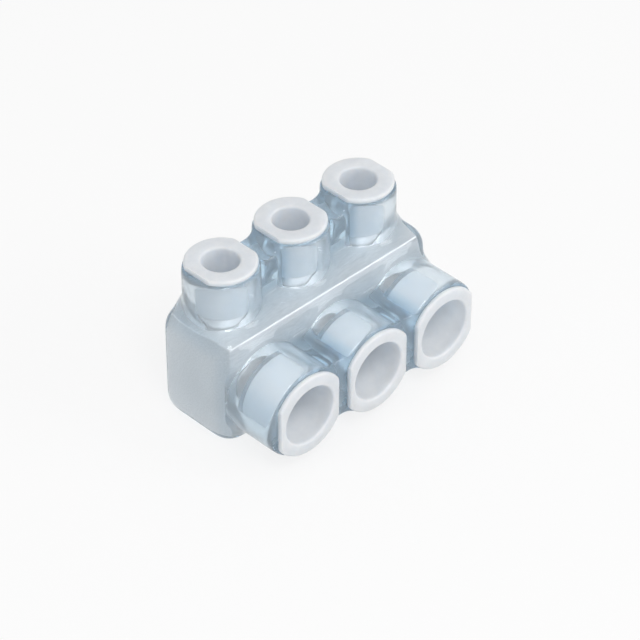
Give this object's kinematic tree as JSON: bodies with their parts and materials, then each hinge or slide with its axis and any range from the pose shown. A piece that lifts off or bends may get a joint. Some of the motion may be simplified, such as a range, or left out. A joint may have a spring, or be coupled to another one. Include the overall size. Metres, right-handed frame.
{
  "type": "insulated multi-tap connector",
  "caption": "Insulated multi-tap wire connector: clear moulded cover over a drilled aluminium bar, with wire sleeves in front, screw towers on top and push-in plugs.",
  "frame": {"origin": "middle of the whole connector, on the surface that it stands on", "axes": "+X along the row of ports, the wires enter from -Y, the set screws are driven from +Z"},
  "size_m": [0.058, 0.0339, 0.0374],
  "materials": {
    "clear_cover": "glossy, clear, slightly blue soft vinyl",
    "bar_aluminium": "dull, sawn and drilled",
    "screw_aluminium": "bright, turned",
    "milky_plug": "milky, translucent soft polyethylene"
  },
  "bodies": {
    "connector": {"insulating_cover": "clear_cover", "connector_block": "bar_aluminium"},
    "set_screw_1": {"set_screw_1": "screw_aluminium"},
    "set_screw_2": {"set_screw_2": "screw_aluminium"},
    "set_screw_3": {"set_screw_3": "screw_aluminium"},
    "screw_plug_1": {"screw_plug_1": "milky_plug"},
    "screw_plug_2": {"screw_plug_2": "milky_plug"},
    "screw_plug_3": {"screw_plug_3": "milky_plug"},
    "wire_plug_1": {"wire_plug_1": "milky_plug"},
    "wire_plug_2": {"wire_plug_2": "milky_plug"},
    "wire_plug_3": {"wire_plug_3": "milky_plug"}
  },
  "joints": [
    {"name": "set_screw_1_travel", "type": "slide", "parent": "connector", "child": "set_screw_1", "axis": [0, 0, -1], "range_m": [0, 0.0075]},
    {"name": "set_screw_2_travel", "type": "slide", "parent": "connector", "child": "set_screw_2", "axis": [0, 0, -1], "range_m": [0, 0.0075]},
    {"name": "set_screw_3_travel", "type": "slide", "parent": "connector", "child": "set_screw_3", "axis": [0, 0, -1], "range_m": [0, 0.0075]},
    {"name": "screw_plug_1_pull", "type": "slide", "parent": "connector", "child": "screw_plug_1", "axis": [0, 0, 1], "range_m": [0, 0.012]},
    {"name": "screw_plug_2_pull", "type": "slide", "parent": "connector", "child": "screw_plug_2", "axis": [0, 0, 1], "range_m": [0, 0.012]},
    {"name": "screw_plug_3_pull", "type": "slide", "parent": "connector", "child": "screw_plug_3", "axis": [0, 0, 1], "range_m": [0, 0.012]},
    {"name": "wire_plug_1_pull", "type": "slide", "parent": "connector", "child": "wire_plug_1", "axis": [0, -1, 0], "range_m": [0, 0.012]},
    {"name": "wire_plug_2_pull", "type": "slide", "parent": "connector", "child": "wire_plug_2", "axis": [0, -1, 0], "range_m": [0, 0.012]},
    {"name": "wire_plug_3_pull", "type": "slide", "parent": "connector", "child": "wire_plug_3", "axis": [0, -1, 0], "range_m": [0, 0.012]}
  ]
}
